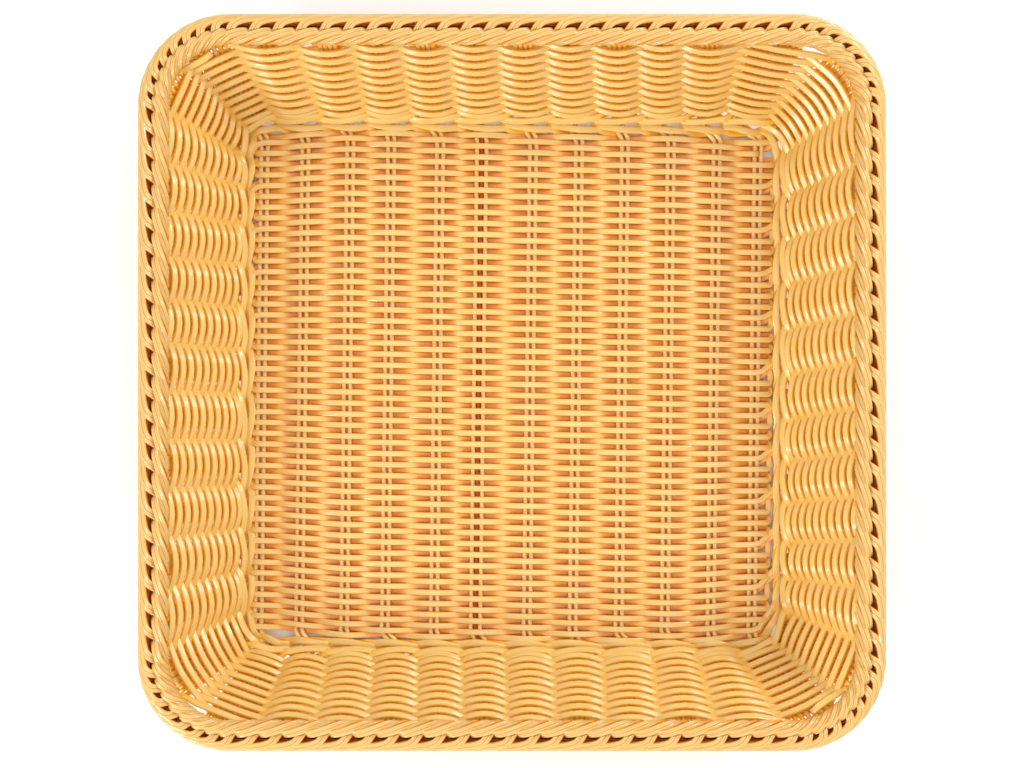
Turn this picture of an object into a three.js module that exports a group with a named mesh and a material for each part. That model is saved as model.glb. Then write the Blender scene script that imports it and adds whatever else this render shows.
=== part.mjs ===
import * as THREE from 'three';

// Square poly rattan basket, open at the top, in millimetres.
// X runs along the rows of the floor, Y along its stakes, and Z is up from the table.
// Stakes in pairs cross the floor and rise up the walls. The floor is plain weave,
// the walls are plain weave by two chasing weavers, a twined strand turns the corner
// between them, and two ropes on a steel hoop close the rim.

// Overall
const RIM_LENGTH_X = 400;
const RIM_LENGTH_Y = 394;
const RIM_CORNER_RADIUS = 49;
const TOTAL_HEIGHT = 72;
const CLEARANCE = 0.3;

// Strands
const STAKE_WIDTH = 2.9;
const STAKE_THICKNESS = 2.4;
const WEAVER_WIDTH = 2.7;
const WEAVER_THICKNESS = 2.0;
const WALING_THICKNESS = 2.6;
const WIRE_DIAMETER = 2.4;

// Floor
const FLOOR_STAKES = 12;
const FLOOR_STAKE_PITCH = 25.5;
const WIRE_STAKE = 5;
const SIDE_STAKES = 12;
const WEFT_ROWS_BETWEEN = 6;
const ROW_PITCH = 3.2;
const FLOOR_RISE = 0.2;

// Edge of the floor, where the rows turn and the stakes leave
const TURN_ROOM = 1.7;
const EXIT_ROOM = 0.4;
const DIVE_LENGTH = 3.8;
const TWIST_OFFSET = 1.75;
const WALING_CLEARANCE = 0.4;
const DIVE_CLEARANCE = 1.6;
const WALING_CORNER_BULGE = 3;

// Wall
const WALL_SETBACK = 4.2;
const BEND_LENGTH = 2.5;
const COURSE_PITCH = 3.1;
const WEAVER_LOOPS = 9;
const FIRST_COURSE = 10;
const BACK_TOP_SHARE = 0.975;
const SIDE_TOP_SHARE = 0.96;
const BACK_LEAN = 7;
const SIDE_LEAN = 14;
const CROWDED_SHARE = 0.15;
const CORNER_STAKES = 2;
const CORNER_STAKE_BULGE = 5.4;
const CORNER_STAKE_START = 4;
const LAST_STAKE_ANGLE = 24;
const LAST_SIDE_STAKE_ANGLE = 55;
const CORNER_STAKE_ANGLE = 72;

// Border
const OUTER_ROPE_DIAMETER = 7.4;
const INNER_ROPE_DIAMETER = 6.8;
const HOOP_DIAMETER = 3.5;
const ROPE_STEP = 2;
const STROKES_PER_STAKE = 2;
const RINGS_PER_STROKE = 2;
const ROPE_SIDES = 3;
const HOOP_SIDES = 5;
const HOOP_CORNER_STEPS = 8;
const WIRE_SIDES = 6;

// Colours read from the photograph's lit and shaded strands
const STRAND = { color: 0xf3c67c, roughness: 0.38, metalness: 0 };
const WALING = { color: 0xedba6c, roughness: 0.38, metalness: 0 };
const BORDER = { color: 0xf0c27a, roughness: 0.36, metalness: 0 };
const STEEL = { color: 0x4a1a08, roughness: 0.25, metalness: 0.2 };

const X = new THREE.Vector3(1, 0, 0);
const Y = new THREE.Vector3(0, 1, 0);
const Z = new THREE.Vector3(0, 0, 1);

// Places worked out from the sizes above
const lastStakeX = (FLOOR_STAKES - 1) / 2 * FLOOR_STAKE_PITCH;
const rowsPerModule = 2 + WEFT_ROWS_BETWEEN;
const rowCount = 2 * SIDE_STAKES + (SIDE_STAKES - 1) * WEFT_ROWS_BETWEEN;
const lastRowY = (rowCount - 1) / 2 * ROW_PITCH;

const pairInner = CLEARANCE / 2;
const wiredInner = WIRE_DIAMETER / 2 + CLEARANCE;
const turnReach = pairInner + STAKE_WIDTH + TURN_ROOM + WEAVER_WIDTH / 2;
const exitReach = turnReach + WEAVER_WIDTH / 2 + EXIT_ROOM;
const diveReach = exitReach + DIVE_LENGTH;
const walingHalf = TWIST_OFFSET + WEAVER_WIDTH / 2;
const walingX = lastStakeX + diveReach + DIVE_CLEARANCE + WEAVER_WIDTH / 2;
const walingY = lastRowY + WEAVER_WIDTH / 2 + WALING_CLEARANCE + walingHalf;
const footX = walingX + WALL_SETBACK;
const footY = walingY + WALL_SETBACK;

const outerRadius = OUTER_ROPE_DIAMETER / 2;
const innerRadius = INNER_ROPE_DIAMETER / 2;
const hoopRadius = HOOP_DIAMETER / 2;
const ropeReach = outerRadius + innerRadius + CLEARANCE;
const ropeSpacing = Math.sqrt(ropeReach ** 2 - ROPE_STEP ** 2);
const outerRopeZ = TOTAL_HEIGHT - outerRadius * Math.cos(Math.PI / 6);
const innerRopeZ = outerRopeZ - ROPE_STEP;
const stakeTopZ = innerRopeZ - innerRadius * Math.cos(Math.PI / 6) - CLEARANCE;

const outerPath = {
  x: RIM_LENGTH_X / 2 - outerRadius,
  y: RIM_LENGTH_Y / 2 - outerRadius,
  radius: RIM_CORNER_RADIUS - outerRadius,
};
const innerPath = insetPath(outerPath, ropeSpacing);

// How far the stakes' tops spread along the straight runs of the rim
const backFan = BACK_TOP_SHARE * (innerPath.x - innerPath.radius) / lastStakeX;
const sideFan = SIDE_TOP_SHARE * (innerPath.y - innerPath.radius) / sideStakeY(0);

// A rounded square path moved inward
function insetPath(path, distance) {
  return { x: path.x - distance, y: path.y - distance, radius: path.radius - distance };
}

// Row and stake places on the floor
function stakeX(stake) {
  return (stake - (FLOOR_STAKES - 1) / 2) * FLOOR_STAKE_PITCH;
}

function rowY(row) {
  return ((rowCount - 1) / 2 - row) * ROW_PITCH;
}

function sideStakeY(stake) {
  return (rowY(stake * rowsPerModule) + rowY(stake * rowsPerModule + 1)) / 2;
}

// The least distance from the stakes' middle to a weaver's middle that clears the stakes
// on the straight run from one side of a stake to the other side of the next one.
// The turn is half the angle that the row makes at the stake.
function liftOver(pitch, inner, reach, turn) {
  let lift = 0;
  for (let pass = 0; pass < 20; pass += 1) {
    const halfWeaver = WEAVER_THICKNESS / 2 * Math.hypot(1, 2 * lift / pitch);
    const overFlats = (STAKE_THICKNESS / 2 + CLEARANCE + halfWeaver) / (1 - 2 * inner / pitch);
    const drop = Math.cos(turn) - 2 * (reach + lift * Math.sin(turn)) / pitch;
    const overTips = (CLEARANCE + halfWeaver) / drop;
    lift = Math.max(overFlats, overTips);
  }
  return lift;
}

const floorLift = liftOver(FLOOR_STAKE_PITCH, wiredInner, wiredInner + STAKE_WIDTH, 0);
const overWaling = WALING_THICKNESS + CLEARANCE + STAKE_THICKNESS / 2;
const overWeft = FLOOR_RISE + WEAVER_THICKNESS / 2 + floorLift;
const floorZ = Math.max(overWaling, overWeft);
const lowCrestZ = WALING_THICKNESS / 2;
const highCrestZ = floorZ + STAKE_THICKNESS / 2 + CLEARANCE + WALING_THICKNESS / 2;

// The stake groups, in order round the basket, each a straight line from foot to top
function cornerPoint(path, signX, signY, degrees) {
  const angle = THREE.MathUtils.degToRad(degrees);
  const x = path.x - path.radius + path.radius * Math.sin(angle);
  const y = path.y - path.radius + path.radius * Math.cos(angle);
  return new THREE.Vector3(signX * x, signY * y, stakeTopZ);
}

// From above, the stakes of every wall lean the same way round. The last stake on that
// side of a wall ends on the rim's corner.
function floorGroup(stake, signY) {
  const x = stakeX(stake);
  const endsOnCorner = stake === (signY > 0 ? 0 : FLOOR_STAKES - 1);
  const top = endsOnCorner
    ? cornerPoint(innerPath, Math.sign(x), signY, LAST_STAKE_ANGLE)
    : new THREE.Vector3(x * backFan - signY * BACK_LEAN, signY * innerPath.y, stakeTopZ);
  return { kind: 'floor', stake, foot: new THREE.Vector3(x, signY * footY, floorZ), top };
}

function sideGroup(stake, signX) {
  const y = sideStakeY(stake);
  const foot = new THREE.Vector3(signX * footX, y, floorZ);
  const endsOnCorner = stake === (signX > 0 ? 0 : SIDE_STAKES - 1);
  const top = endsOnCorner
    ? cornerPoint(innerPath, signX, Math.sign(y), LAST_SIDE_STAKE_ANGLE)
    : new THREE.Vector3(signX * innerPath.x, y * sideFan + signX * SIDE_LEAN, stakeTopZ);
  return { kind: 'side', stake, foot, top };
}

// The two corners that the side stakes lean away from get a stake of their own
function cornerGroup(stake, before, after, signX, signY) {
  const chord = after.foot.clone().sub(before.foot).normalize();
  const outward = new THREE.Vector3(-chord.y, chord.x, 0);
  const foot = before.foot.clone().add(after.foot).multiplyScalar(0.5);
  foot.addScaledVector(outward, CORNER_STAKE_BULGE);
  return { kind: 'corner', stake, foot, top: cornerPoint(innerPath, signX, signY, CORNER_STAKE_ANGLE) };
}

function makeGroups() {
  const back = [];
  const front = [];
  for (let stake = 0; stake < FLOOR_STAKES; stake += 1) {
    back.push(floorGroup(stake, 1));
    front.unshift(floorGroup(stake, -1));
  }
  const right = [];
  const left = [];
  for (let stake = 0; stake < SIDE_STAKES; stake += 1) {
    right.push(sideGroup(stake, 1));
    left.unshift(sideGroup(stake, -1));
  }
  return [
    ...back,
    ...right, cornerGroup(0, right.at(-1), front[0], 1, -1),
    ...front,
    ...left, cornerGroup(1, left.at(-1), back[0], -1, 1),
  ];
}

// Each group's directions: up the wall, into the basket, and towards both neighbours
function addFrames(ring) {
  ring.forEach((group) => {
    group.up = group.top.clone().sub(group.foot).normalize();
  });
  ring.forEach((group, index) => {
    const next = ring[(index + 1) % ring.length];
    const last = ring[(index + ring.length - 1) % ring.length];
    const here = onWall(group, FIRST_COURSE);
    const toNext = onWall(next, FIRST_COURSE).sub(here);
    const toLast = onWall(last, FIRST_COURSE).sub(here);
    group.pitch = Math.min(toNext.length(), toLast.length());
    group.toNext = acrossStake(group, toNext);
    group.toLast = acrossStake(group, toLast);
    group.along = group.toNext.clone().sub(group.toLast).normalize();
    group.inward = new THREE.Vector3().crossVectors(group.along, group.up).normalize();
    group.turn = group.along.angleTo(group.toNext);
  });
  return ring;
}

function onWall(group, distance) {
  return group.foot.clone().addScaledVector(group.up, distance);
}

function acrossStake(group, direction) {
  return direction.clone().addScaledVector(group.up, -direction.dot(group.up)).normalize();
}

function innerOf(group) {
  return group.kind === 'floor' && group.stake === WIRE_STAKE ? wiredInner : pairInner;
}

function reachOf(group) {
  return Math.min(innerOf(group) + STAKE_WIDTH, CROWDED_SHARE * group.pitch);
}

const groups = addFrames(makeGroups());
const wallLift = Math.max(...groups.map((group) => (
  liftOver(group.pitch, innerOf(group), reachOf(group), group.turn))));

// A closed skin over rings of as many points each, open tubes ending in flat caps.
// Each four-sided patch between two rings folds along its shorter diagonal.
function tube(rings, closed = false, shift = 0) {
  const sides = rings[0].length;
  const points = rings.flat();
  const faces = [];
  const spans = closed ? rings.length : rings.length - 1;
  for (let span = 0; span < spans; span += 1) {
    const wraps = span + 1 === rings.length;
    const start = span * sides;
    const end = wraps ? 0 : start + sides;
    const turn = wraps ? shift : 0;
    for (let side = 0; side < sides; side += 1) {
      const other = (side + 1) % sides;
      const a = start + side;
      const b = start + other;
      const c = end + (other + turn) % sides;
      const d = end + (side + turn) % sides;
      const foldsToC = points[a].distanceTo(points[c]) < points[b].distanceTo(points[d]);
      faces.push(...(foldsToC ? [[a, b, c], [a, c, d]] : [[a, b, d], [b, c, d]]));
    }
  }
  if (!closed) {
    const last = (rings.length - 1) * sides;
    for (let side = 1; side < sides - 1; side += 1) {
      faces.push([0, side + 1, side], [last, last + side, last + side + 1]);
    }
  }
  return skin(points, faces);
}

// Faces turn outwards when the volume that they enclose counts as positive
function skin(points, faces) {
  let volume = 0;
  faces.forEach(([a, b, c]) => {
    volume += points[a].dot(new THREE.Vector3().crossVectors(points[b], points[c])) / 6;
  });
  const outward = volume > 0 ? faces : faces.map(([a, b, c]) => [a, c, b]);
  const geometry = new THREE.BufferGeometry();
  geometry.setAttribute('position', new THREE.Float32BufferAttribute(
    points.flatMap((point) => point.toArray()), 3));
  geometry.setIndex(outward.flat());
  geometry.computeVertexNormals();
  return geometry;
}

function at(x, y, z) {
  return new THREE.Vector3(x, y, z);
}

function offset(centre, first, firstLength, second, secondLength) {
  return centre.clone().addScaledVector(first, firstLength).addScaledVector(second, secondLength);
}

// A weaver's section: a flat side below and a ridge above it
function weaverRing(centre, across, above, thickness = WEAVER_THICKNESS) {
  return [
    offset(centre, across, -WEAVER_WIDTH / 2, above, -thickness / 2),
    offset(centre, across, WEAVER_WIDTH / 2, above, -thickness / 2),
    offset(centre, across, 0, above, thickness / 2),
  ];
}

// A stake strand's section: flat against its twin, thinner towards its outer edge
function stakeRing(centre, across, above, inner, tipDirection, reach) {
  return [
    offset(centre, across, inner, above, STAKE_THICKNESS / 2),
    offset(centre, across, inner, above, -STAKE_THICKNESS / 2),
    offset(centre, tipDirection, reach, above, 0),
  ];
}

function roundRing(centre, across, above, radius, sides) {
  const ring = [];
  for (let side = 0; side < sides; side += 1) {
    const angle = 2 * Math.PI * side / sides;
    ring.push(offset(centre, across, radius * Math.cos(angle), above, radius * Math.sin(angle)));
  }
  return ring;
}

// A straight piece up the wall that ends in a level cut under the border
function wallSpan(group, start, ringAt) {
  const top = ringAt(group.top);
  top.forEach((point) => point.addScaledVector(group.up, (stakeTopZ - point.z) / group.up.z));
  return [ringAt(onWall(group, start)), top];
}

// The wall part of one strand of a pair, from the bend to the top
function wallRings(group, axis) {
  const towardsNext = group.along.dot(axis) > 0;
  const across = group.along.clone().multiplyScalar(towardsNext ? 1 : -1);
  const tip = towardsNext ? group.toNext : group.toLast;
  return wallSpan(group, BEND_LENGTH, (centre) => (
    stakeRing(centre, across, group.inward, innerOf(group), tip, reachOf(group))));
}

function bendPoint(group) {
  const outward = group.kind === 'floor' ? Y : X;
  const side = Math.sign(group.foot.dot(outward));
  return group.foot.clone().addScaledVector(outward, -side * BEND_LENGTH);
}

function findGroup(kind, stake, axis, sign) {
  return groups.find((group) => (
    group.kind === kind && group.stake === stake && group.foot.dot(axis) * sign > 0));
}

// One strand of a floor stake: down a wall, under and over the rows, and up the other wall
function floorStake(stake, side) {
  const axis = X.clone().multiplyScalar(side);
  const ends = [-1, 1].map((sign) => findGroup('floor', stake, Y, sign));
  const inner = innerOf(ends[0]);
  const [front, back] = ends.map((group) => ({
    floor: stakeRing(bendPoint(group), axis, Z, inner, axis, inner + STAKE_WIDTH),
    wall: wallRings(group, axis),
  }));
  return tube([front.wall[1], front.wall[0], front.floor, back.floor, back.wall[0], back.wall[1]]);
}

// One strand of a side stake: down a wall, across the floor as a row, and up the other wall
function sideStake(stake, side) {
  const row = stake * rowsPerModule + (side > 0 ? 0 : 1);
  const axis = Y.clone().multiplyScalar(side);
  const centreY = sideStakeY(stake);
  const reach = pairInner + STAKE_WIDTH;
  const ends = [-1, 1].map((sign) => {
    const group = findGroup('side', stake, X, sign);
    const crossing = sign < 0 ? 0 : FLOOR_STAKES - 1;
    const level = floorZ + weaveSign(crossing, row) * floorLift;
    const exit = at(sign * (lastStakeX + exitReach), rowY(row), level);
    const dive = at(sign * (lastStakeX + diveReach), centreY, floorZ);
    return [
      weaverRing(exit, axis, Z),
      stakeRing(dive, axis, Z, pairInner, axis, reach),
      stakeRing(bendPoint(group), axis, Z, pairInner, axis, reach),
      ...wallRings(group, axis),
    ];
  });
  const crossings = [];
  for (let crossing = 0; crossing < FLOOR_STAKES; crossing += 1) {
    crossings.push(weaverRing(crossingPoint(crossing, row), axis, Z));
  }
  return tube([...ends[0].reverse(), ...crossings, ...ends[1]]);
}

function weaveSign(stake, row) {
  return (stake + row) % 2 === 0 ? 1 : -1;
}

function crossingPoint(stake, row) {
  return at(stakeX(stake), rowY(row), floorZ + weaveSign(stake, row) * floorLift);
}

// The floor's one long weft strand. It turns round the last stake at the end of each row,
// and on the right it passes between the two strands of a side stake to its next rows.
function floorWeft() {
  const rings = [];
  const weftRows = [];
  for (let row = 0; row < rowCount; row += 1) {
    if (row % rowsPerModule > 1) {
      weftRows.push(row);
    }
  }
  weftRows.forEach((row, index) => {
    const direction = index % 2 === 0 ? -1 : 1;
    const across = Y.clone().multiplyScalar(direction);
    for (let count = 0; count < FLOOR_STAKES; count += 1) {
      const stake = direction > 0 ? count : FLOOR_STAKES - 1 - count;
      rings.push(weaverRing(crossingPoint(stake, row), across, Z));
    }
    const nextRow = weftRows[index + 1];
    if (nextRow !== undefined) {
      rings.push(...turnRings(row, nextRow, direction));
    }
  });
  return tube(rings);
}

function turnRings(row, nextRow, direction) {
  const x = direction * (lastStakeX + turnReach);
  const tilt = at(0, -ROW_PITCH, -weaveSign(direction > 0 ? FLOOR_STAKES - 1 : 0, row) * floorLift);
  const above = new THREE.Vector3().crossVectors(tilt.normalize(), X);
  if (nextRow === row + 1) {
    return [weaverRing(at(x, (rowY(row) + rowY(nextRow)) / 2, floorZ), X, above)];
  }
  return [
    weaverRing(at(x, rowY(row) - ROW_PITCH / 2, floorZ), X, Z),
    weaverRing(at(x, rowY(nextRow) + ROW_PITCH / 2, floorZ), X, Z),
  ];
}

// One of the wall's two weavers: a winding that passes inside and outside the stakes in turn
// and climbs two courses a loop, so that the other one fits between its loops
function wallWeaver(startGroup, phase) {
  const rings = [];
  const crossings = groups.length * WEAVER_LOOPS;
  for (let step = 0; step <= crossings; step += 1) {
    const index = (startGroup + step) % groups.length;
    const group = groups[index];
    const height = FIRST_COURSE + 2 * COURSE_PITCH * step / groups.length;
    const side = (index + phase) % 2 === 0 ? 1 : -1;
    const centre = onWall(group, height).addScaledVector(group.inward, side * wallLift);
    rings.push(weaverRing(centre, group.up, group.inward));
  }
  const loopGap = 2 * COURSE_PITCH - WEAVER_WIDTH;
  const measured = leastLoopGap(rings, groups.length);
  console.log(`wall weaver ${phase + 1}: loops ${loopGap.toFixed(2)} mm apart, measured ${measured.toFixed(2)}`);
  return tube(rings);
}

// The least distance between the points of one loop and those of the loop above it
function leastLoopGap(rings, perLoop) {
  let least = Infinity;
  for (let index = 0; index + perLoop < rings.length; index += 1) {
    for (const low of rings[index]) {
      for (const high of rings[index + perLoop]) {
        least = Math.min(least, low.distanceTo(high));
      }
    }
  }
  return least;
}

// The twined strand that closes the edge of the floor. It goes round twice, over and under
// the stakes in turn, and its two legs twist past each other between the stakes.
// Its lower crests are the flat feet that the basket stands on.
function baseWaling() {
  const wrapped = groups.filter((group) => group.kind !== 'corner');
  const crests = wrapped.map(walingCrest);
  const rings = [];
  const count = crests.length;
  for (let step = 0; step < 2 * count; step += 1) {
    const index = step % count;
    const next = crests[(index + 1) % count];
    const last = crests[(index + count - 1) % count];
    const isHigh = (step + Math.floor(step / count)) % 2 === 0;
    const { inner, place, outward } = crests[index];
    const isFlat = !isHigh || next.kind !== last.kind;
    const level = isFlat ? inner + STAKE_WIDTH : inner;
    const along = at(outward.y, -outward.x, 0);
    for (const shift of level > pairInner ? [-level, level] : [0]) {
      const centre = place.clone().addScaledVector(along, shift).setZ(isHigh ? highCrestZ : lowCrestZ);
      rings.push(weaverRing(centre, outward, Z, WALING_THICKNESS));
    }
    if (index < count - 1) {
      rings.push(twistRing(place, next.place, isHigh));
    }
  }
  return tube(rings, true);
}

function walingCrest(group) {
  const { kind, foot } = group;
  const outward = kind === 'floor' ? at(0, Math.sign(foot.y), 0) : at(Math.sign(foot.x), 0, 0);
  const place = kind === 'floor' ? at(foot.x, outward.y * walingY, 0) : at(outward.x * walingX, foot.y, 0);
  return { kind, inner: innerOf(group), outward, place };
}

function twistRing(here, next, fromHigh) {
  const chord = next.clone().sub(here);
  const outward = at(-chord.y, chord.x, 0).normalize();
  const isCorner = Math.abs(chord.x) > 1 && Math.abs(chord.y) > 1;
  const bulge = isCorner ? WALING_CORNER_BULGE : 0;
  const side = fromHigh ? TWIST_OFFSET : -TWIST_OFFSET;
  const middle = here.clone().add(next).multiplyScalar(0.5).setZ(floorZ);
  middle.addScaledVector(outward, bulge + side);
  return weaverRing(middle, outward, Z, WALING_THICKNESS);
}

// A stake inserted at a corner, pinched at its crowded foot
function cornerStake(stake) {
  const group = groups.find((one) => one.kind === 'corner' && one.stake === stake);
  const reach = reachOf(group);
  const half = STAKE_THICKNESS / 2;
  return tube(wallSpan(group, CORNER_STAKE_START, (centre) => [
    centre.clone().addScaledVector(group.inward, half),
    centre.clone().addScaledVector(group.toNext, reach),
    centre.clone().addScaledVector(group.inward, -half),
    centre.clone().addScaledVector(group.toLast, reach),
  ]));
}

// The coated steel wire between the two strands of one floor stake
function floorWire() {
  const ends = [-1, 1].map((sign) => findGroup('floor', WIRE_STAKE, Y, sign));
  const [front, back] = ends.map((group) => {
    const across = group.along.clone().multiplyScalar(Math.sign(group.along.x));
    return {
      floor: roundRing(bendPoint(group), X, Z, WIRE_DIAMETER / 2, WIRE_SIDES),
      wall: wallSpan(group, BEND_LENGTH, (centre) => (
        roundRing(centre, across, group.inward, WIRE_DIAMETER / 2, WIRE_SIDES))),
    };
  });
  return tube([front.wall[1], front.wall[0], front.floor, back.floor, back.wall[0], back.wall[1]]);
}

// Evenly spaced places and outward directions on a rounded square path
function pathPlaces(path, count) {
  const straightX = 2 * (path.x - path.radius);
  const straightY = 2 * (path.y - path.radius);
  const arc = Math.PI / 2 * path.radius;
  const total = 2 * straightX + 2 * straightY + 4 * arc;
  const places = [];
  for (let index = 0; index < count; index += 1) {
    places.push(pathPlace(path, total * index / count, straightX, straightY, arc));
  }
  return places;
}

// Clockwise from the left end of the back side, by distance
function pathPlace(path, distance, straightX, straightY, arc) {
  const sides = [straightX, straightY, straightX, straightY];
  let rest = distance;
  let quarter = 0;
  while (rest > sides[quarter] + arc) {
    rest -= sides[quarter] + arc;
    quarter += 1;
  }
  const heading = -quarter * Math.PI / 2;
  const halfLength = (quarter % 2 === 0 ? straightX : straightY) / 2;
  const halfWidth = quarter % 2 === 0 ? path.y : path.x;
  const bend = Math.max(0, rest - sides[quarter]) / path.radius;
  const run = Math.min(rest, sides[quarter]) - halfLength;
  const local = at(run + path.radius * Math.sin(bend), halfWidth - path.radius * (1 - Math.cos(bend)), 0);
  const outward = at(Math.sin(bend), Math.cos(bend), 0);
  return { place: local.applyAxisAngle(Z, heading), outward: outward.applyAxisAngle(Z, heading) };
}

// A border rope: a three-sided section that turns a third of a circle with each stroke
function rope(path, z, radius) {
  const strokes = STROKES_PER_STAKE * groups.length;
  const places = pathPlaces(path, strokes * RINGS_PER_STROKE);
  const twist = 2 * Math.PI / ROPE_SIDES / RINGS_PER_STROKE;
  const rings = places.map(({ place, outward }, index) => {
    const ring = [];
    for (let side = 0; side < ROPE_SIDES; side += 1) {
      const angle = index * twist + 2 * Math.PI * side / ROPE_SIDES;
      ring.push(offset(place.clone().setZ(z), outward, radius * Math.cos(angle), Z, radius * Math.sin(angle)));
    }
    return ring;
  });
  return tube(rings, true, strokes % ROPE_SIDES);
}

// The steel hoop in the valley under the two ropes
function rimHoop() {
  const toInner = innerRadius + hoopRadius + CLEARANCE;
  const toOuter = outerRadius + hoopRadius + CLEARANCE;
  const run = (toInner ** 2 - toOuter ** 2 + ropeReach ** 2) / (2 * ropeReach);
  const depth = Math.sqrt(toInner ** 2 - run ** 2);
  const across = (run * ropeSpacing + depth * ROPE_STEP) / ropeReach;
  const z = innerRopeZ + (run * ROPE_STEP - depth * ropeSpacing) / ropeReach;
  const path = insetPath(innerPath, -across);
  const rings = [];
  for (let quarter = 0; quarter < 4; quarter += 1) {
    for (let step = 0; step <= HOOP_CORNER_STEPS; step += 1) {
      const bend = Math.PI / 2 * step / HOOP_CORNER_STEPS;
      const halfX = quarter % 2 === 0 ? path.x : path.y;
      const halfY = quarter % 2 === 0 ? path.y : path.x;
      const outward = at(Math.sin(bend), Math.cos(bend), 0);
      const centre = at(halfX - path.radius, halfY - path.radius, z).addScaledVector(outward, path.radius);
      const heading = -quarter * Math.PI / 2;
      centre.applyAxisAngle(Z, heading);
      outward.applyAxisAngle(Z, heading);
      rings.push(roundRing(centre, outward, Z, hoopRadius, HOOP_SIDES));
    }
  }
  return tube(rings, true);
}

// Assembly
const basket = new THREE.Group();
basket.name = 'poly_rattan_basket';

function add(name, geometry, look) {
  const mesh = new THREE.Mesh(geometry, new THREE.MeshStandardMaterial(look));
  mesh.name = name;
  basket.add(mesh);
}

function numbered(name, index) {
  return `${name}_${String(index + 1).padStart(2, '0')}`;
}

add('floor_weft', floorWeft(), STRAND);
for (let stake = 0; stake < FLOOR_STAKES; stake += 1) {
  add(`${numbered('floor_stake', stake)}_left`, floorStake(stake, -1), STRAND);
  add(`${numbered('floor_stake', stake)}_right`, floorStake(stake, 1), STRAND);
}
for (let stake = 0; stake < SIDE_STAKES; stake += 1) {
  add(`${numbered('side_stake', stake)}_back`, sideStake(stake, 1), STRAND);
  add(`${numbered('side_stake', stake)}_front`, sideStake(stake, -1), STRAND);
}
for (let stake = 0; stake < CORNER_STAKES; stake += 1) {
  add(numbered('corner_stake', stake), cornerStake(stake), STRAND);
}
add('wall_weaver_first', wallWeaver(0, 0), STRAND);
add('wall_weaver_second', wallWeaver(groups.length / 2, 1), STRAND);
add('base_waling', baseWaling(), WALING);
add('border_outer_rope', rope(outerPath, outerRopeZ, outerRadius), BORDER);
add('border_inner_rope', rope(innerPath, innerRopeZ, innerRadius), BORDER);
add('rim_hoop', rimHoop(), STEEL);
add('floor_wire', floorWire(), STEEL);

export default basket;
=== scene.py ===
# %% [markdown]
# A square poly rattan basket, seen from above as a shop would photograph it.
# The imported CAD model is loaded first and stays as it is. Every woven piece that follows
# is drawn along nearly the same route as the CAD strand that it stands for, but with the
# outline, the grooves, the colour and the gloss of the real strand.

# %% Load the CAD frame
import math
import random

import bmesh
import bpy
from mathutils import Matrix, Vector


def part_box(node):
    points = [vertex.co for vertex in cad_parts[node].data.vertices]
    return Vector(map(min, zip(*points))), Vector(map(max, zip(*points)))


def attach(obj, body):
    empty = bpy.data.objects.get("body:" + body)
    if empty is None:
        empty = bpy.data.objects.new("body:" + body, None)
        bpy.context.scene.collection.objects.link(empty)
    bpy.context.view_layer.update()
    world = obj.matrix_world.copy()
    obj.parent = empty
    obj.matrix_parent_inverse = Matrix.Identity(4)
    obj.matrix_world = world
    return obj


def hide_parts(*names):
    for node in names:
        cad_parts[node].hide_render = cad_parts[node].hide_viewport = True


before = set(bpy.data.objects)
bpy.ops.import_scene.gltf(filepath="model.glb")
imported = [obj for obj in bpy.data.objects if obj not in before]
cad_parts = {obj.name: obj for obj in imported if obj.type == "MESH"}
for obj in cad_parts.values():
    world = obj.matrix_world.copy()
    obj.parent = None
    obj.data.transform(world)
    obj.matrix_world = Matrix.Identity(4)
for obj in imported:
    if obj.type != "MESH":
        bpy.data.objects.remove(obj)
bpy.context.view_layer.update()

# %% [markdown]
# The basket's sizes are those of the CAD model, in millimetres. They are repeated here
# because this script reads nothing but the frame. Rows, stakes and corners could stand at
# even steps, but the maker's spacing wanders a little, so they stand where the photograph
# shows them. Lengths stay in millimetres until they go into Blender, which works in
# metres.

# %% Sizes of the basket
MM = 0.001
RIM_X, RIM_Y, RIM_RADIUS, HEIGHT = 400.0, 394.0, 49.0, 72.0
ROW_PITCH, ROWS = 3.191, 92
FIRST_ROW_Y = 142.6
SIDE_ROWS = (0, 8, 16, 24, 32, 42, 50, 58, 66, 74, 82, 90)
STAKE_X = (-145.0, -121.4, -95.4, -71.7, -43.4, -19.3, 10.4, 37.0, 63.6, 90.2, 116.8, 140.5)
WIRE_STAKE = 5
FLOOR_Z = 4.1
FOOT_BACK, FOOT_RIGHT, FOOT_FRONT, FOOT_LEFT = 151.6, 157.0, 155.0, 154.8
WALL_TOP_X, WALL_TOP_Y, CORNER_X, CORNER_Y, CORNER_RADIUS = 189.2, 186.2, 151.0, 148.0, 38.2
STAKE_TOP_Z = 63.55
COURSE_PITCH, WALL_LOOPS, FIRST_COURSE = 3.15, 9, 9.8
Y, Z = Vector((0, 1, 0)), Vector((0, 0, 1))
print("floor rows:", ROWS, "floor stakes:", len(STAKE_X))

# %% [markdown]
# Poly rattan is an extruded plastic strand, flat with rounded edges and fine grooves
# along it. A round tube would be the easiest strand to draw, but light shows none of the
# grooves on it. One closed outline is drawn once for each kind of strand instead, and is
# swept along every route.

# %% Outlines of the strands
THREE_RIDGES = ((1.0, 0.0), (0.88, 0.6), (0.64, 0.96), (0.34, 0.76),
                (0.0, 1.0), (-0.34, 0.76), (-0.64, 0.96), (-0.88, 0.6))
TWO_RIDGES = ((1.0, 0.0), (0.84, 0.66), (0.5, 1.0), (0.18, 0.8),
              (0.0, 0.72), (-0.18, 0.8), (-0.5, 1.0), (-0.84, 0.66))
PLAIN = ((1.0, 0.0), (0.92, 0.38), (0.7, 0.7), (0.38, 0.93),
         (0.0, 1.0), (-0.38, 0.93), (-0.7, 0.7), (-0.92, 0.38))


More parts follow.
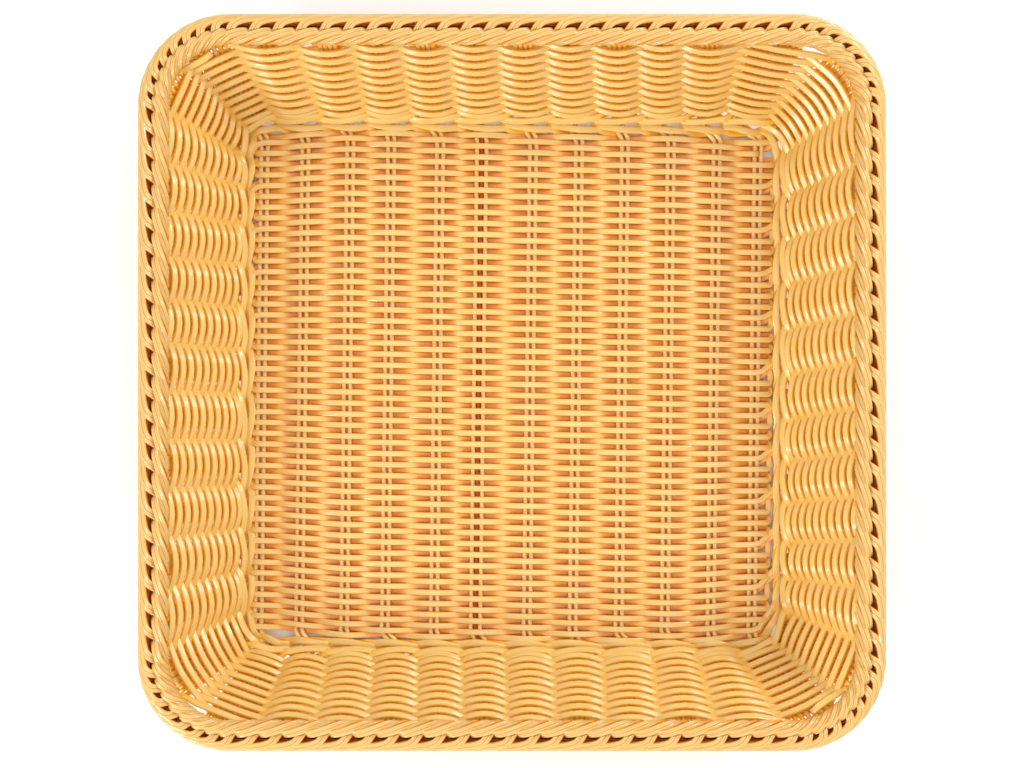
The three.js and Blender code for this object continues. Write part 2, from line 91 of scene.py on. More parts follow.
def outline(name, width, thickness, half):
    """A strand's closed outline. Half is given, from the right edge over the top. The rest is its turned copy."""
    curve = bpy.data.curves.new(name, "CURVE")
    curve.dimensions = "2D"
    spline = curve.splines.new("POLY")
    corners = list(half) + [(-x, -y) for x, y in half]
    spline.points.add(len(corners) - 1)
    for point, (x, y) in zip(spline.points, reversed(corners)):
        point.co = (x * width / 2 * MM, y * thickness / 2 * MM, 0, 1)
    spline.use_cyclic_u = True
    holder = bpy.data.objects.new(name, curve)
    bpy.context.scene.collection.objects.link(holder)
    holder.hide_render = True
    return {"object": holder, "corners": list(reversed(corners))}


WEAVER = outline("weaver outline", 3.5, 2.3, THREE_RIDGES)
WALL = outline("wall outline", 3.7, 2.7, THREE_RIDGES)
WALING = outline("waling outline", 4.3, 2.7, THREE_RIDGES)
STAKE = outline("stake outline", 2.75, 2.3, PLAIN)
BORDER = outline("border outline", 2.5, 2.1, TWO_RIDGES)
ROUND = outline("wire outline", 2.4, 2.4, PLAIN)
HOOP = outline("hoop outline", 3.5, 3.5, PLAIN)
OUTLINES = (WEAVER, WALL, WALING, STAKE, BORDER, ROUND, HOOP)
print("outlines:", len(OUTLINES))

# %% [markdown]
# A curve with a bevel object does the sweeping. A mesh could be built ring by ring, but
# the curve is quicker and keeps the outline square to the route, and each of its points
# can be tilted, so that a strand lies flat on what it passes over.

# %% Direction and tilt along a route
def tangents(points, closed):
    """The direction at each point, halfway between the stretches before and after it."""
    count = len(points)
    found = []
    for i, point in enumerate(points):
        before = points[i - 1] if i or closed else None
        after = points[(i + 1) % count] if i < count - 1 or closed else None
        way = Vector()
        if before is not None:
            way += (point - before).normalized()
        if after is not None:
            way += (after - point).normalized()
        found.append(way.normalized())
    return found


def tilt_of(tangent, above):
    """The turn that brings the outline's upper side to face above."""
    right = Vector((tangent.y, -tangent.x, 0)).normalized()
    up = right.cross(tangent)
    return math.atan2(above.dot(right), above.dot(up))


print("tilt of a strand that lies flat:", tilt_of(Y, Z))

# %% [markdown]
# Each point of the mesh keeps two values for the materials. Fibre says how far along and
# across its strand the point is, with the strand's own tone, and painted shade says how much
# shade is painted on it, from how deep it lies in the weave. UV maps could hold some of it,
# but attributes need no unwrapping.

# %% One spline for each strand
# The far side of a strand takes only this share of the painted shade on its near side.
FAR_SIDE_SHARE = 0.15  # the part of the near side's depth that the far side takes, as it faces the light again


def add_strand(curve, strand, corners):
    """Draws a strand as a spline, and gives the fibre and painted shade values of the points of its mesh.
    A strand is a dict of points, above and tone, with closed, depth and far where they are needed."""
    points, closed = strand["points"], strand.get("closed", False)
    given_shade, far = strand.get("depth", [0.0] * len(points)), strand.get("far", FAR_SIDE_SHARE)
    spline = curve.splines.new("POLY")
    spline.points.add(len(points) - 1)
    spline.use_cyclic_u = closed
    ways = tangents(points, closed)
    run, fibre, depths = 0.0, [], []
    for i, point in enumerate(points):
        spline.points[i].co = (*(point * MM), 1)
        spline.points[i].tilt = tilt_of(ways[i], strand["above"][i])
        run += (point - points[i - 1]).length * MM if i else 0.0
        for x, y in corners:
            fibre.extend((run, x, strand["tone"]))
            depths.append(given_shade[i] if y > 0 else far * given_shade[i])
    return fibre, depths


# %% Sweeping strands into one mesh
def close_ends(mesh):
    """Fills the strands' open ends, turns the faces outward and shades them smoothly."""
    bm = bmesh.new()
    bm.from_mesh(mesh)
    ends = [edge for edge in bm.edges if edge.is_boundary]
    bmesh.ops.holes_fill(bm, edges=ends, sides=0)
    if bm.calc_volume(signed=True) < 0:
        bmesh.ops.reverse_faces(bm, faces=bm.faces)
    for face in bm.faces:
        face.smooth = True
    bm.to_mesh(mesh)
    bm.free()


def sweep(name, strands, section):
    """One mesh of all the strands, which have the same outline."""
    curve = bpy.data.curves.new(name, "CURVE")
    curve.dimensions = "3D"
    curve.twist_mode = "Z_UP"
    curve.bevel_mode = "OBJECT"
    curve.bevel_object = section["object"]
    fibre, depths = [], []
    for strand in strands:
        strand_fibre, strand_depths = add_strand(curve, strand, section["corners"])
        fibre += strand_fibre
        depths += strand_depths
    holder = bpy.data.objects.new(name, curve)
    bpy.context.scene.collection.objects.link(holder)
    view_layer_graph = bpy.context.evaluated_depsgraph_get()
    mesh = bpy.data.meshes.new_from_object(holder.evaluated_get(view_layer_graph))
    bpy.data.objects.remove(holder)
    close_ends(mesh)
    mesh.attributes.new("fibre", "FLOAT_VECTOR", "POINT").data.foreach_set("vector", fibre)
    mesh.attributes.new("depth", "FLOAT", "POINT").data.foreach_set("value", depths)
    mesh.name = name
    piece = bpy.data.objects.new(name, mesh)
    bpy.context.scene.collection.objects.link(piece)
    mesh.calc_loop_triangles()
    print(f"{name}: {len(strands)} strands, {len(mesh.loop_triangles)} triangles")
    return piece


# %% [markdown]
# No two strands have quite the same colour, so each gets a random tone. Where a strand dips
# under its neighbours it gets painted shade, a deeper orange for the shade and glow in the
# gaps, and a route that is listed by a few points has to bend softly between them. A library
# of curves could do the bending, but a short formula gives the same bend for places,
# directions and plain numbers.

# %% Tone, painted shade and soft routes
# Painted shade starts on a strand below this swing.
SHADE_START = 0.3  # the swing below which a strand starts to lie deep
random.seed(7)


def tone():
    """A strand's own place in the range of its colour."""
    return random.random()


def shade_of_swing(swing):
    """How much painted shade a strand takes, from how deep it lies in the weave: 0 where it passes on the near
    side, 1 where it passes on the far one.
    """
    return min(1.0, max(0.0, SHADE_START - swing))


def smooth(points, steps, closed=False):
    """A soft curve through the points, with steps stretches between each two."""
    count = len(points)
    found = []
    for i in range(count if closed else count - 1):
        a = points[i - 1] if i or closed else points[0] * 2 - points[1]
        b, c = points[i], points[(i + 1) % count]
        d = points[(i + 2) % count] if i + 2 < count or closed else c * 2 - b
        for step in range(steps):
            t = step / steps
            found.append(0.5 * (2 * b + (c - a) * t + (2 * a - 5 * b + 4 * c - d) * t ** 2
                                + (3 * b - a - 3 * c + d) * t ** 3))
    if not closed:
        found.append(points[-1].copy())
    return found


print("depth of a strand halfway between the sides:", shade_of_swing(0.0))

# %% [markdown]
# The walls hang on fifty groups of stakes: 12 behind, 12 in front, 11 on each side and
# one round each corner. They could be spread evenly by a formula, but the maker set them
# by eye and they lean a little the same way round, so their places along the wall are
# listed at the foot and at the rim. The groups near a corner spread like fans.

# %% The stake groups
BACK = ((-123.2, -133.9), (-96.8, -100.5), (-70.5, -73.7), (-44.7, -47.3), (-18.3, -20.4),
        (9.7, 5.6), (35.5, 31.2), (62.5, 56.5), (86.5, 81.2), (111.7, 107.0))
RIGHT = ((119.0, 134.0), (94.5, 106.0), (68.7, 78.8), (43.4, 51.6), (17.5, 25.0), (-8.9, -1.0),
         (-34.2, -25.0), (-58.0, -48.7), (-81.3, -73.0), (-103.4, -97.3), (-121.3, -124.0))
FRONT = ((117.5, 126.9), (94.0, 94.6), (66.5, 64.0), (37.8, 36.6), (9.2, 9.7),
         (-16.6, -15.0), (-42.4, -39.8), (-67.0, -65.6), (-92.8, -92.5), (-118.6, -122.0))
LEFT = ((-120.4, -127.2), (-97.1, -98.7), (-72.7, -71.2), (-47.7, -44.6), (-21.3, -18.0), (5.5, 8.3),
        (30.2, 32.8), (54.6, 56.2), (79.3, 79.6), (101.4, 105.4), (122.1, 132.8))


def wall_group(side, foot, top, stake=None, fan=False):
    """A group with its foot and top so far along a straight wall, which carries the stake of this number."""
    places = {"back": (Vector((foot, FOOT_BACK, FLOOR_Z)), Vector((top, WALL_TOP_Y, STAKE_TOP_Z))),
              "right": (Vector((FOOT_RIGHT, foot, FLOOR_Z)), Vector((WALL_TOP_X, top, STAKE_TOP_Z))),
              "front": (Vector((foot, -FOOT_FRONT, FLOOR_Z)), Vector((top, -WALL_TOP_Y, STAKE_TOP_Z))),
              "left": (Vector((-FOOT_LEFT, foot, FLOOR_Z)), Vector((-WALL_TOP_X, top, STAKE_TOP_Z)))}
    return {"side": side, "stake": stake, "foot": places[side][0], "top": places[side][1], "fan": fan}


def corner_group(side, foot_x, foot_y, degrees, stake=None):
    """A group whose top is round the rim's corner, at so many degrees from the back's or the front's end."""
    turn = math.radians(degrees)
    top = Vector((math.copysign(CORNER_X + CORNER_RADIUS * math.sin(turn), foot_x),
                  math.copysign(CORNER_Y + CORNER_RADIUS * math.cos(turn), foot_y), STAKE_TOP_Z))
    return {"side": side, "stake": stake, "foot": Vector((foot_x, foot_y, FLOOR_Z)), "top": top, "fan": True}


def all_groups():
    """The groups in their order round the basket, clockwise from the back left corner."""
    back = [wall_group("back", *place, i + 1) for i, place in enumerate(BACK)]
    right = [wall_group("right", *place, i + 1) for i, place in enumerate(RIGHT)]
    front = [wall_group("front", *place, 10 - i) for i, place in enumerate(FRONT)]
    left = [wall_group("left", *place, 10 - i) for i, place in enumerate(LEFT)]
    return [corner_group("back", -146.5, 149.6, 22, 0), *back, wall_group("back", 133.5, 144.6, 11, fan=True),
            corner_group("right", 154.0, 142.5, 55, 0), *right,
            corner_group("corner", 154.5, -140.5, 78),
            corner_group("front", 141.0, -153.6, 21.5, 11), *front,
            wall_group("front", -139.0, -153.8, 0, fan=True),
            corner_group("left", -153.8, -143.0, 69, 11), *left,
            corner_group("corner", -154.4, 137.5, 68)]


def on_wall(group, distance):
    """The middle of a group, so far up the wall from its foot."""
    return group["foot"] + group["up"] * distance


LEVEL = 20  # how far up the wall one group looks to the next
GROUPS = all_groups()
for group in GROUPS:
    group["up"] = (group["top"] - group["foot"]).normalized()
    group["length"] = (group["top"] - group["foot"]).length
for i, group in enumerate(GROUPS):
    ways = [on_wall(GROUPS[(i + step) % len(GROUPS)], LEVEL) - on_wall(group, LEVEL) for step in (1, -1)]
    ways = [(way - group["up"] * way.dot(group["up"])).normalized() for way in ways]
    group["along"] = (ways[0] - ways[1]).normalized()
    group["inward"] = group["along"].cross(group["up"]).normalized()
print("stake groups:", len(GROUPS))


def find_group(side, stake):
    """The group of a wall that carries the stake of this number."""
    return next(group for group in GROUPS if (group["side"], group["stake"]) == (side, stake))


# %% [markdown]
# The floor's weft is one long strand. It passes over and under the stake pairs, turns
# round the last pair at each end, and leaves two rows free at each side stake, whose own
# strands fill them. Separate rows would be shorter to write, but their cut ends would
# show, so the turns are drawn too. A wave gives the height: steep between the stakes and
# flat over them.

# %% The floor's weft
ROW_LIFT = 2.45
STAKE_LEAN = 0.013
ROW_SLOPE = 0.02
LEFT_PULL, RIGHT_PULL_BACK, RIGHT_PULL_FRONT = 0.028, 0.012, 0.032
PULL_START, PULL_LENGTH = 90.0, 60.0
WAVE_FLATNESS = 0.85
STEPS_PER_STAKE = 6
TURN_REACH = {-1: 2.9, 1: 7.2}
TURN_STEPS, TURN_FLATNESS, TURN_HEIGHT, TURN_SHADE = 8, 0.8, 0.75, 0.3
WEAVE_END = 150
LAST_STAKE = len(STAKE_X) - 1


def row_y(row, x=0.0):
    """Where a row lies at x. The rows slope a little, and their ends draw together towards the side walls."""
    y = FIRST_ROW_Y - ROW_PITCH * row - ROW_SLOPE * x
    bend = min(1.0, max(0.0, (abs(x) - PULL_START) / PULL_LENGTH))
    pull = LEFT_PULL if x < 0 else RIGHT_PULL_BACK if y > 0 else RIGHT_PULL_FRONT
    return y * (1 - pull * bend * bend * (3 - 2 * bend))


def wave(at):
    """On which side a strand passes: 1 at the first stake, -1 at the next one, and so on."""
    swing = math.cos(math.pi * at)
    return math.copysign(abs(swing) ** WAVE_FLATNESS, swing)


def stake_x(at):
    """Where a stake lies across the floor, also between two stakes."""
    before = min(int(at), LAST_STAKE - 1)
    return STAKE_X[before] + (STAKE_X[before + 1] - STAKE_X[before]) * (at - before)


def row_point(at, row):
    """A point of a row, at so many stakes from the left one."""
    x = stake_x(at) + STAKE_LEAN * row_y(row)
    sign = -1 if row % 2 == 0 else 1
    return Vector((x, row_y(row, x), FLOOR_Z + sign * ROW_LIFT * wave(at)))


def row_points(row, direction):
    """All of a row's points, to the right or to the left."""
    steps = range(LAST_STAKE * STEPS_PER_STAKE + 1)
    places = [row_point(step / STEPS_PER_STAKE, row) for step in steps]
    return places if direction > 0 else places[::-1]


def row_turn(row, after, direction):
    """The flat bend beyond the last stake, from one row's end to the start of a later one."""
    start, end = [row_point(LAST_STAKE if direction > 0 else 0, r) for r in (row, after)]
    half = (start.y - end.y) / 2
    middle = Vector(((start.x + end.x) / 2 + direction * TURN_REACH[direction], (start.y + end.y) / 2, 0))
    points = []
    for step in range(TURN_STEPS + 1):
        angle, share = math.pi * step / TURN_STEPS, step / TURN_STEPS
        x = middle.x + direction * ROW_PITCH / 2 * math.sin(angle)
        y = middle.y + half * math.copysign(abs(math.cos(angle)) ** TURN_FLATNESS, math.cos(angle))
        rise = (start.z - FLOOR_Z) * TURN_HEIGHT * (1 - share) + (end.z - FLOOR_Z) * TURN_HEIGHT * share
        points.append(Vector((x, y, FLOOR_Z + rise)))
    return points


def floor_depth(points):
    """The painted shade of each point of a row, from how deep it lies, and a fixed share beyond the weave's ends.
    """
    return [shade_of_swing((point.z - FLOOR_Z) / ROW_LIFT) if abs(point.x) < WEAVE_END else TURN_SHADE for point in points]


def floor_weft():
    """The rows that the side stakes leave free, from back to front, joined by turns."""
    side_rows = {row + step for row in SIDE_ROWS for step in (0, 1)}
    rows = [row for row in range(ROWS) if row not in side_rows]
    points = []
    for i, row in enumerate(rows):
        direction = -1 if i % 2 == 0 else 1
        points += row_points(row, direction)
        if i + 1 < len(rows):
            points += row_turn(row, rows[i + 1], direction)
    return {"points": points, "above": [Z] * len(points), "tone": 0.5, "depth": floor_depth(points)}


weft_piece = sweep("floor weft", [floor_weft()], WEAVER)

# %% [markdown]
# Each side stake is a pair of the same strands. They cross the floor as two of its rows,
# dip under the waling and stand up in the walls, one on each side of their group's middle.
# Floor and wall could be two pieces that meet at the foot, but the bend is the part that
# shows, so one route runs from rim to rim.

# %% Side stakes
STRAND_STEP, GROUP_SPREAD, FAN_SPREAD = 2.3, 0.45, 1.3  # between strands at the foot, and added to it at the rim
STAND_START = 2.5
WALL_STRETCHES = 8
SOFT_STEPS = 3
# The way out of the weave: how far past the last floor stake, how far over to the foot, how much height is left
SIDE_EXIT = ((4.0, 0.06, 0.8), (7.5, 0.3, 0.4))
FOOT_SHARE = 0.8


def wall_run(group, place, start=STAND_START):
    """Points up a wall for one strand of a group, and the way it faces. Place counts strands from the middle."""
    points = []
    for i in range(WALL_STRETCHES + 1):
        share = i / WALL_STRETCHES
        distance = start + (group["length"] - start) * share
        step = STRAND_STEP + (FAN_SPREAD if group["fan"] else GROUP_SPREAD) * share
        points.append((on_wall(group, distance) + group["along"] * (place * step), group["inward"]))
    return points


def soft(route):
    """A route's points and the ways that they face, with soft bends."""
    return smooth([point for point, _ in route], SOFT_STEPS), smooth([above for _, above in route], SOFT_STEPS)


def side_stake(stake, side):
    """One strand of a side stake, behind or before its middle, from the left rim to the right one."""
    row = SIDE_ROWS[stake] + (0 if side > 0 else 1)
    halves = []
    for sign, wall in ((-1, "left"), (1, "right")):
        group = find_group(wall, stake)
        end = row_point(0 if sign < 0 else LAST_STAKE, row)
        rise = end.z - FLOOR_Z
        place = side * 0.5 * (1 if group["along"].y > 0 else -1)
        foot = group["foot"] + group["along"] * place * STRAND_STEP
        over = foot.y - end.y
        route = [(Vector((end.x + sign * out, end.y + over * share, FLOOR_Z + rise * left)), Z)
                 for out, share, left in SIDE_EXIT]
        route.append((Vector((foot.x - sign * STAND_START, end.y + over * FOOT_SHARE, FLOOR_Z)), Z))
        halves.append(route + wall_run(group, place))
    left_points, left_above = soft(halves[0][::-1])
    right_points, right_above = soft(halves[1])
    middle = row_points(row, 1)
    points = left_points + middle + right_points
    above = left_above + [Z] * len(middle) + right_above
    return {"points": points, "above": [way.normalized() for way in above], "tone": tone(),
            "depth": floor_depth(points)}


side_strands = [side_stake(i, side) for i in range(len(SIDE_ROWS)) for side in (1, -1)]
side_pieces = sweep("side stakes", side_strands, WEAVER)

# %% [markdown]
# The floor stakes are stiffer and rounder. A pair runs straight from wall to wall between
# the rows. The strands could wave a little too, but on the real floor the stakes stay
# straight and the rows do the bending. One pair holds a coated steel wire between its
# strands.

# %% Floor stakes
PAIR_HALF, WIRED_HALF = 1.85, 2.7
FRONT_EDGE, BACK_EDGE = 144.0, 140.0
EDGE_BEFORE, EDGE_AFTER, FOOT_BEFORE = 6, 5, 2.0  # the route's points round the floor's edge
ACROSS = range(-120, 121, 20)


def stake_line(stake, y, shift=0.0):
    """A point of a floor stake's straight stretch."""
    return Vector((STAKE_X[stake] + shift + STAKE_LEAN * y, y, FLOOR_Z))


def floor_line(stake, places, shift):
    """A strand across the floor and up both walls. Places are its places in the front and the back wall's group."""
    halves = []
    for sign, wall, place in ((-1, "front", places[0]), (1, "back", places[1])):
        group = find_group(wall, stake)
        turned = place * (1 if group["along"].x > 0 else -1)
        foot = group["foot"] + group["along"] * turned * STRAND_STEP
        edge = BACK_EDGE if sign > 0 else FRONT_EDGE
        x = STAKE_X[stake] + shift + STAKE_LEAN * sign * edge
        route = [(Vector((x, sign * (edge - EDGE_BEFORE), FLOOR_Z)), Z),
                 (Vector((x, sign * edge, FLOOR_Z)), Z),
                 (Vector(((x + foot.x) / 2, sign * (edge + EDGE_AFTER), FLOOR_Z)), Z),
                 (Vector((foot.x, foot.y - sign * FOOT_BEFORE, FLOOR_Z)), Z)]
        halves.append(route + wall_run(group, turned))
    points, above = soft(halves[0][::-1] + [(stake_line(stake, y, shift), Z) for y in ACROSS] + halves[1])
    return {"points": points, "above": [way.normalized() for way in above], "tone": tone()}


def floor_pair(stake):
    """Both strands of a floor stake, which stand wider where they hold the wire."""
    half = WIRED_HALF if stake == WIRE_STAKE else PAIR_HALF
    return [floor_line(stake, (-0.5, -1.5), -half), floor_line(stake, (1.5, 0.5), half)]


floor_pieces = sweep("floor stakes", [line for i in range(len(STAKE_X)) for line in floor_pair(i)], STAKE)

# %% The wire between two floor stakes
WIRE_END = 9.0
WIRE_ACROSS = range(-145, 146, 29)


def floor_wire():
    """The coated wire in one pair. It bends up with its stakes and ends behind the wall's first rows."""
    front, back = [[on_wall(find_group(wall, WIRE_STAKE), distance) for distance in (WIRE_END, STAND_START)]
                   for wall in ("front", "back")]
    points = smooth([*front, *[stake_line(WIRE_STAKE, y) for y in WIRE_ACROSS], *reversed(back)], SOFT_STEPS)
    above = [(Z - Y * math.copysign(1, p.y)).normalized() if abs(p.y) > WEAVE_END else Z for p in points]
    return {"points": points, "above": above, "tone": 0.5}


wire_piece = sweep("floor wire", [floor_wire()], ROUND)

# %% [markdown]
# On the real basket more strands are pushed in beside each pair above the waling, so that
# every wall group is four strands wide, and eight where it spreads like a fan near a
# corner. They show as small combs between the courses. Copies of one strand would do on
# an even wall, but every group leans its own way, so each strand has its own short route.

# %% By-stakes of the walls
TAKEN = {"back": (-1.5, 0.5), "front": (-1.5, 0.5), "right": (-0.5, 0.5), "left": (-0.5, 0.5), "corner": ()}
GROUP_PLACES = (-1.5, -0.5, 0.5, 1.5)
FAN_PLACES = (-3.5, -2.5, *GROUP_PLACES, 2.5, 3.5)
BY_STAKE_START = 4.0


def by_stakes():
    """The strands at the places that no floor or side stake takes."""
    strands = []
    for group in GROUPS:
        for place in FAN_PLACES if group["fan"] else GROUP_PLACES:
            if place not in TAKEN[group["side"]]:
                run = wall_run(group, place, BY_STAKE_START)
                strands.append({"points": [p for p, _ in run], "above": [a for _, a in run], "tone": tone()})
    return strands


by_piece = sweep("wall by stakes", by_stakes(), STAKE)

# %% [markdown]
# Two weavers chase each other up the wall. Each passes inside one group and outside the
# next, so from above the courses show as rows of arcs. Closed rings would be easier, but
# a real weaver climbs from course to course. The route follows the ring of groups at a
# slowly growing height, after half a loop that lies nearly level on the waling, and a
# wave carries it from side to side.

# %% Wall weavers
WALL_LIFT = 4.3
WALL_STEPS = 6
WALL_TILT = 0.45
EARLY = len(GROUPS) // 2  # how many groups the nearly level start passes


def leaning(inward):
    """A wall strand's flat side, turned a little from the wall towards straight up."""
    return (inward.normalized() + Z * WALL_TILT).normalized()


def wall_weaver(start, phase):
    """A weaver: its nearly level start, and then its loops, one row of the pair further up after each."""
    count = len(GROUPS)
    base, inward = [], []
    for step in range(-EARLY, count * WALL_LOOPS + 1):
        group = GROUPS[(start + step) % count]
        rise = 2 * COURSE_PITCH * step / count if step > 0 else step / EARLY
        base.append(on_wall(group, FIRST_COURSE + rise))
        inward.append(group["inward"])
    base, inward = smooth(base, WALL_STEPS), smooth(inward, WALL_STEPS)
    points, depth = [], []
    for i, (place, way) in enumerate(zip(base, inward)):
        swing = wave(start + phase + i / WALL_STEPS - EARLY)
        points.append(place + way.normalized() * WALL_LIFT * swing)
        depth.append(shade_of_swing(swing))
    return {"points": points, "above": [leaning(way) for way in inward], "tone": tone(), "depth": depth}


first_piece = sweep("wall weaver first", [wall_weaver(0, 0)], WALL)
second_piece = sweep("wall weaver second", [wall_weaver(EARLY, 1)], WALL)

# %% [markdown]
# Two twined rows close the edge of the floor, one on the floor's rim and one at the foot
# of the wall. In each, two legs take turns inside and outside of the stakes and pass
# beside each other between them, so that every group shows an arc in both rows. Each leg
# could have its own list of points, but then the two would hardly cross cleanly, so one
# function draws both, half a wave apart.

# %% Both legs of a twined row
WALING_STEPS = 6


def waling_row(places, lift, drop, under, above, apart):
    """Both legs of a twined row: lifted over a group, moved by drop between groups and by under below a group.
    Between groups the leg that dives passes on one side of the leg that rises, so far apart."""
    base = smooth(places, WALING_STEPS, closed=True)
    lifts, drops, unders, ways, aparts = [smooth(each, WALING_STEPS, True)
                                          for each in (lift, drop, under, above, apart)]
    legs = []
    for leg in range(2):
        points, depth = [], []
        for i, point in enumerate(base):
            at = i / WALING_STEPS + leg
            swing = wave(at)
            points.append(point + lifts[i] * swing + drops[i] * (1 - abs(swing))
                          + unders[i] * math.sqrt(max(0.0, -swing)) + aparts[i] * math.sin(math.pi * at))
            depth.append(shade_of_swing(swing))
        legs.append({"points": points, "above": [way.normalized() for way in ways], "closed": True,
                     "tone": tone(), "depth": depth})
    return legs


CLOSED_FLOOR = 7.8  # from a group's foot to the nearest row, where the waling just covers the floor


def floor_gap(group):
    """How much floor the slope of the rows leaves open beside the waling, at a group of the back or front."""
    if group["side"] not in ("back", "front"):
        return 0.0
    row = 0 if group["foot"].y > 0 else ROWS - 1
    return max(0.0, abs(group["foot"].y) - CLOSED_FLOOR - abs(row_y(row, group["foot"].x)))


print("widest gap beside the waling, in millimetres:", round(max(floor_gap(group) for group in GROUPS), 1))

# %% [markdown]
# Where the floor's rows slope away from the wall, both rows of the waling move in to cover
# the gap. The shift of the hidden legs on the rim of the floor has a fault that is left as
# it is: its list has two entries for each group, where the other lists have one, so it
# turns round the basket at half their pace and points the right way only behind. It moves
# a leg only where that leg passes below a group.

# %% Base waling
EDGE_IN, EDGE_LIFT, EDGE_LIFT_IN, EDGE_DROP, EDGE_APART = 3.9, 2.75, 0.5, -1.6, 1.1
EDGE_UNDER, EDGE_UNDER_BACK = 2.2, 2.6
FOOT_UP, FOOT_IN, FOOT_LIFT, FOOT_DROP_UP, FOOT_DROP_IN, FOOT_APART = 5.5, 0.9, 3.5, 0.2, 1.2, 1.2
# How much further each of them moves for a millimetre of gap, and at most
IN_PER_GAP, IN_MOST, DROP_PER_GAP, DROP_MOST, UNDER_PER_GAP = 0.35, 1.3, 0.45, 1.6, 0.4
FOOT_IN_PER_GAP, FOOT_DROP_PER_GAP = 0.15, 0.5


def edge_row():
    """The twined row on the rim of the floor."""
    places, lift, drop, under, apart = [], [], [], [], []
    for group in GROUPS:
        inside = Vector((group["inward"].x, group["inward"].y, 0)).normalized()
        gap = floor_gap(group)
        places.append(group["foot"] + inside * (EDGE_IN + min(IN_MOST, IN_PER_GAP * gap)))
        lift.append(Z * EDGE_LIFT + inside * EDGE_LIFT_IN)
        drop.append(inside * (EDGE_DROP + min(DROP_MOST, DROP_PER_GAP * gap)))
        under.append(inside * (EDGE_UNDER + UNDER_PER_GAP * gap))
        under.append(inside * (EDGE_UNDER_BACK if group["side"] == "back" else EDGE_UNDER))
        apart.append(inside * EDGE_APART)
    return waling_row(places, lift, drop, under, [Z] * len(GROUPS), apart)


def foot_row():
    """The twined row at the foot of the wall."""
    places, lift, drop, apart = [], [], [], []
    for group in GROUPS:
        up, inward, gap = group["up"], group["inward"], floor_gap(group)
        places.append(on_wall(group, FOOT_UP) + inward * (FOOT_IN + FOOT_IN_PER_GAP * gap))
        lift.append(inward * FOOT_LIFT)
        drop.append(up * FOOT_DROP_UP + inward * (FOOT_DROP_IN + FOOT_DROP_PER_GAP * gap))
        apart.append(up * FOOT_APART)
    slanting = [leaning(group["inward"]) for group in GROUPS]
    return waling_row(places, lift, drop, [Vector()] * len(GROUPS), slanting, apart)


waling_piece = sweep("base waling", edge_row() + foot_row(), WALING)


# %% [markdown]
# The border is laid with the ends of the stakes. Each stroke is a pair of strands: it
# comes up from the wall, slants over the inner side of the rim, dives into the middle,
# and slants out again over the outer side. Both slants run clockwise, and the small
# triangles left between them show the dark hoop inside. A picture on a smooth ring would
# look right from straight above only, so every stroke is real. A stroke is listed as if
# the rim were straight, and the rim's path bends it round the corners.

# %% The rim's path
STROKES_X, STROKES_Y, STROKES_CORNER = 24, 23, 8
STROKES = 2 * (STROKES_X + STROKES_Y) + 4 * STROKES_CORNER
print("border strokes:", STROKES)


def rim_place(turn, inset, height):
    """A point of the rim and its outward direction, turn strokes clockwise from the back's left end."""
    length_x, length_y = 2 * (RIM_X / 2 - RIM_RADIUS), 2 * (RIM_Y / 2 - RIM_RADIUS)
    sides = [(length_x, STROKES_X), (length_y, STROKES_Y)] * 2
    turn %= STROKES
    quarter = 0
    while turn > sides[quarter][1] + STROKES_CORNER:
        turn -= sides[quarter][1] + STROKES_CORNER
        quarter += 1
    length, strokes = sides[quarter]
    width = (RIM_Y if quarter % 2 == 0 else RIM_X) / 2 - inset
    radius = RIM_RADIUS - inset
    run = min(turn, strokes) / strokes * length - length / 2
    bend = max(0.0, turn - strokes) / STROKES_CORNER * math.pi / 2
    x, y = run + radius * math.sin(bend), width - radius * (1 - math.cos(bend))
    cos, sin = ((1, 0), (0, -1), (-1, 0), (0, 1))[quarter]
    place = Vector((x * cos - y * sin, x * sin + y * cos, height))
    out_x, out_y = math.sin(bend), math.cos(bend)
    return place, Vector((out_x * cos - out_y * sin, out_x * sin + out_y * cos, 0))


# %% Border strokes
STRAND_HALF = 1.12
# Painted shade: under the rim a stroke grows deeper orange, on both its sides, and shows so in the triangles beside
# the hoop.
SHADE_TOP, SHADE_HEIGHT = 67.5, 3.0  # a stroke grows deeper in colour from this height down, over this much
SHADE_OUTER, SHADE_INNER = 2.5, 11.5  # and only between these distances in from the outline


def stroke(start, route, centre, side):
    """One strand of a stroke. Route gives how far along, how far in from the outline and how high it lies."""
    places, ways, depth = [], [], []
    for along, inset, height in smooth([Vector(p) for p in route], 2):
        shade = min(1.0, max(0.0, (SHADE_TOP - height) / SHADE_HEIGHT))
        depth.append(shade if SHADE_OUTER < inset < SHADE_INNER else 0.0)
        place, outward = rim_place(start + along, inset, height)
        places.append(place)
        ways.append((outward * (centre[0] - inset) + Z * (height - centre[1])).normalized())
    line = tangents(places, False)
    points, above = [], []
    for place, way, ahead in zip(places, ways, line):
        way = (way - ahead * way.dot(ahead)).normalized()
        points.append(place + ahead.cross(way).normalized() * side)
        above.append(way)
    return {"points": points, "above": above, "tone": tone(), "depth": depth, "far": 1.0}


